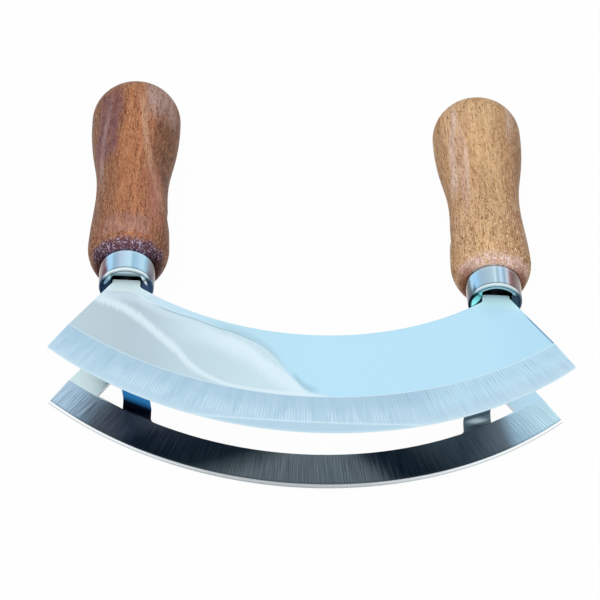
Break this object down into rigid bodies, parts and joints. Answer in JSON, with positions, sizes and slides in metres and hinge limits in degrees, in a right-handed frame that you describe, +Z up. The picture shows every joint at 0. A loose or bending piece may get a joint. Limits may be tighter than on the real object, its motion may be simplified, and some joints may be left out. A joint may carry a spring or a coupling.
{
  "type": "mezzaluna",
  "caption": "Hand mincing knife with crescent blades one behind the other, joined by bent straps under upright turned wooden handles, rocked to chop herbs.",
  "frame": {"origin": "On the resting surface, below the middle of the box around the tool as it lies on its back.", "axes": "+X runs along the blades, towards the right-hand handle as seen in the picture. +Y runs along the surface from the cutting edges towards the tops of the handles. +Z is up, out of the front blade's face, which leans 5.8 degrees."},
  "size_m": [0.2, 0.1891, 0.0423],
  "materials": {
    "blade_steel": "polished stainless steel, mirror-like on the flat face, finely ground on the bevel",
    "band_steel": "polished stainless steel, darker in its reflections",
    "tang_steel": "plain mild steel, unpolished",
    "cement": "matt cutler's cement",
    "ferrule_chrome": "bright plated metal",
    "red_wood": "reddish brown hardwood, oiled, satin",
    "golden_wood": "golden brown hardwood, oiled, satin"
  },
  "bodies": {
    "root": {"front_blade": "blade_steel", "rear_blade": "band_steel", "tang_left": "tang_steel", "tang_right": "tang_steel", "cement_left": "cement", "cement_right": "cement", "ferrule_left": "ferrule_chrome", "ferrule_right": "ferrule_chrome", "handle_left": "red_wood", "handle_right": "golden_wood"}
  },
  "joints": []
}
